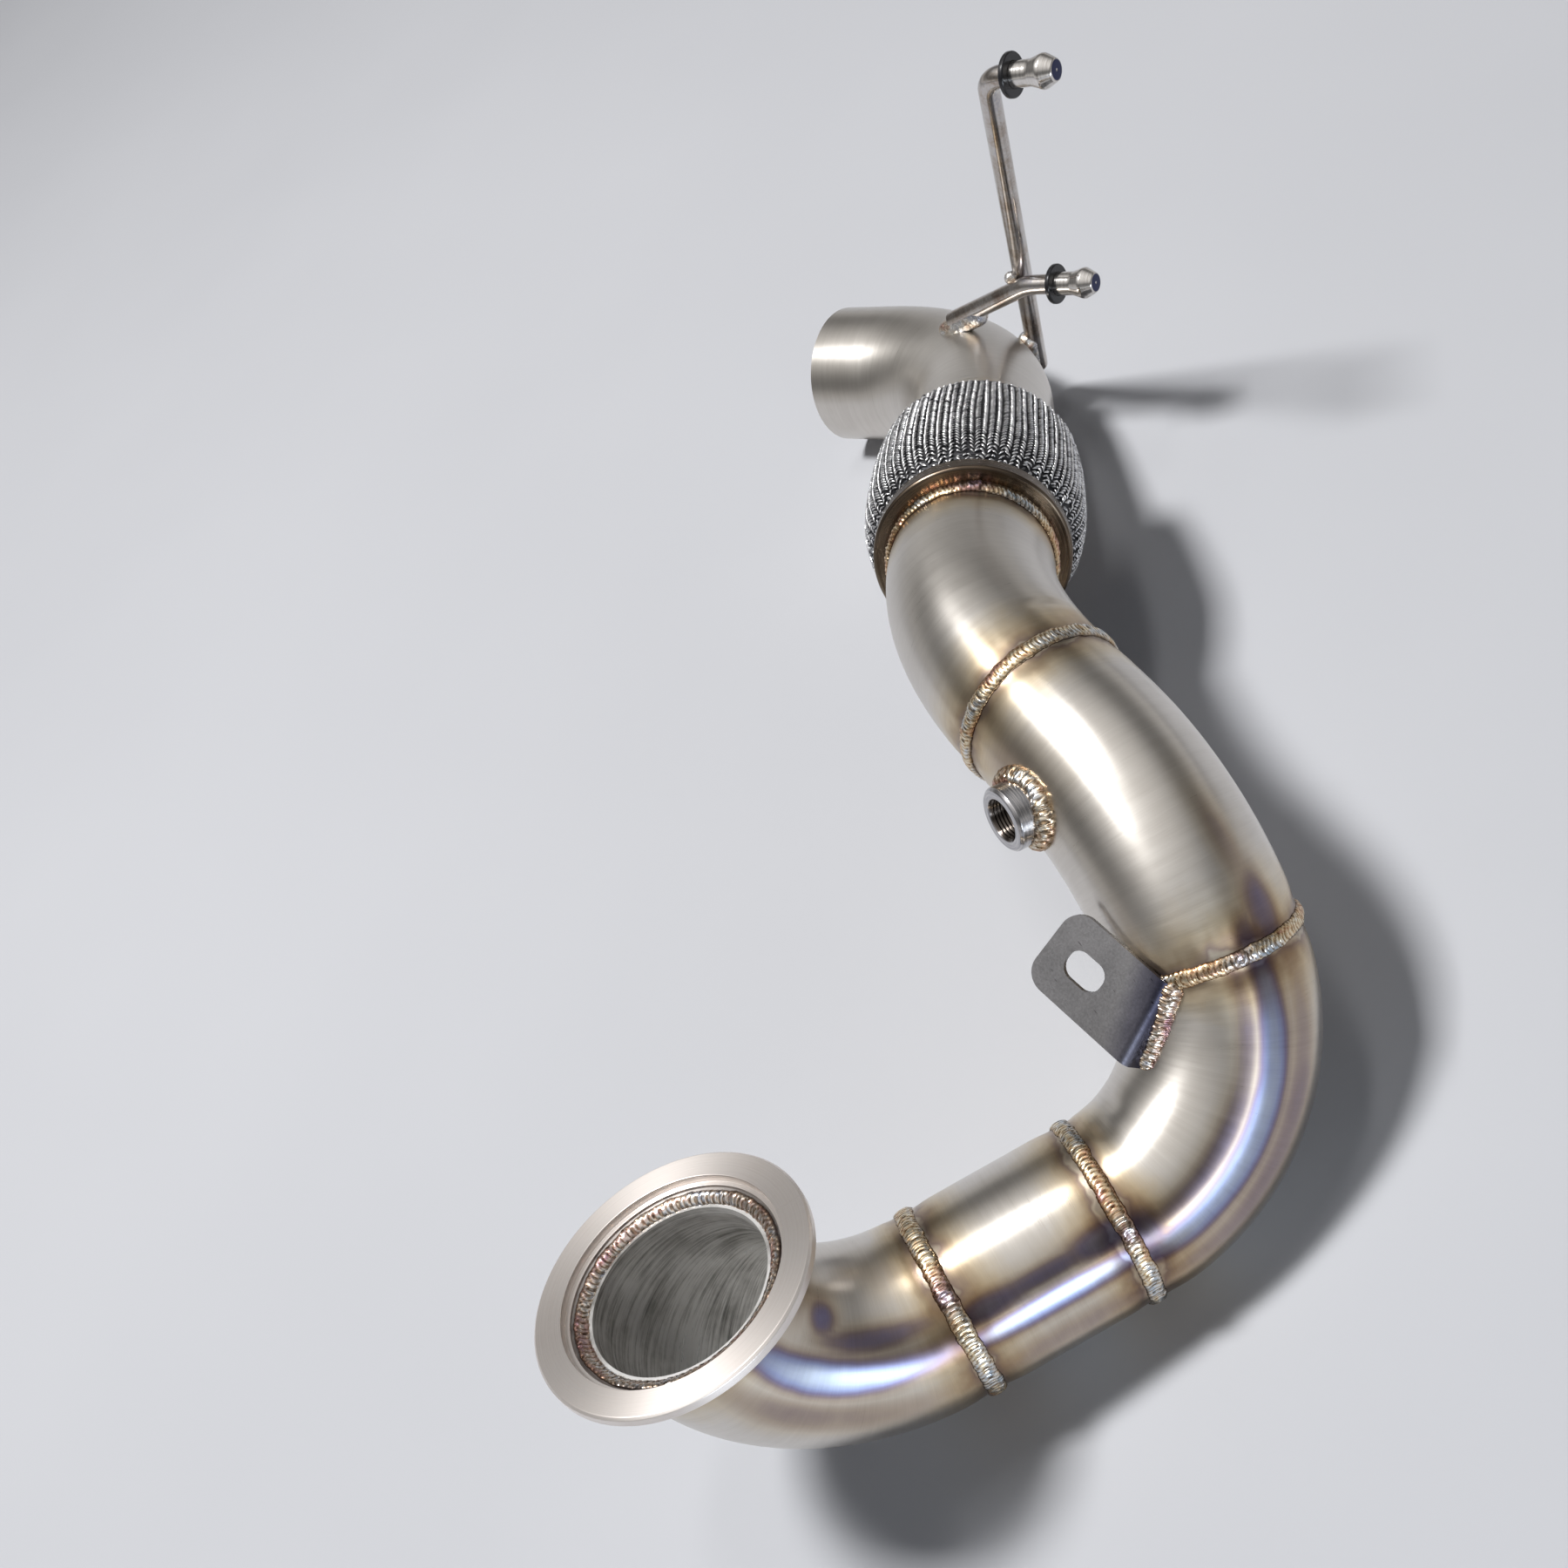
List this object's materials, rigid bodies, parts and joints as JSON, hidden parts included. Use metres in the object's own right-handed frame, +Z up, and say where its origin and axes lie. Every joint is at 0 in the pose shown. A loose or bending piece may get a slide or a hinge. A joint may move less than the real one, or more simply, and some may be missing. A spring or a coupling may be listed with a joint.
{
  "type": "turbo downpipe",
  "caption": "Welded stainless turbo downpipe with a V-band inlet ring, bends, a sensor bung, a flex joint under a knitted cover, an outlet elbow and hanger rods.",
  "frame": {"origin": "on the floor under the centre of the whole pipe as it lies at rest", "axes": "+Z up from the floor on which the pipe lies, +X along the level run of the straight tube away from the inlet, +Y towards the outlet"},
  "size_m": [0.4654, 0.6092, 0.2589],
  "materials": {
    "tube_steel": "satin brushed stainless tube with straw and blue heat tint",
    "weld_steel": "rippled weld metal with gold and blue oxide",
    "ring_steel": "turned stainless ring, matt face",
    "collar_steel": "pressed stainless collar, heat darkened",
    "knit_wire": "knitted stainless wire",
    "inner_steel": "plain stainless sheet inside the flex joint",
    "rod_steel": "bright drawn bar",
    "pin_steel": "turned bright steel",
    "washer_black": "black coated steel",
    "plate_steel": "dull grey folded sheet steel"
  },
  "bodies": {
    "root": {"inlet_flange": "ring_steel", "inlet_weld": "weld_steel", "inlet_elbow": "tube_steel", "straight_tube": "tube_steel", "lower_elbow": "tube_steel", "sensor_bend": "tube_steel", "sensor_bung": "ring_steel", "bung_weld": "weld_steel", "upper_bend": "tube_steel", "seam_weld_1": "weld_steel", "seam_weld_2": "weld_steel", "seam_weld_3": "weld_steel", "seam_weld_4": "weld_steel", "seam_weld_5": "weld_steel", "seam_weld_6": "weld_steel", "flex_front_collar": "collar_steel", "flex_rear_collar": "collar_steel", "flex_liner": "inner_steel", "flex_bellows": "inner_steel", "flex_cover": "knit_wire", "outlet_elbow": "tube_steel", "hanger_rod_long": "rod_steel", "hanger_pin_long": "pin_steel", "stop_washer_long": "washer_black", "hanger_weld_long": "weld_steel", "hanger_rod_short": "rod_steel", "hanger_pin_short": "pin_steel", "stop_washer_short": "washer_black", "hanger_weld_short": "weld_steel", "rod_tack_weld": "weld_steel", "support_bracket": "plate_steel", "bracket_weld": "weld_steel"}
  },
  "joints": []
}
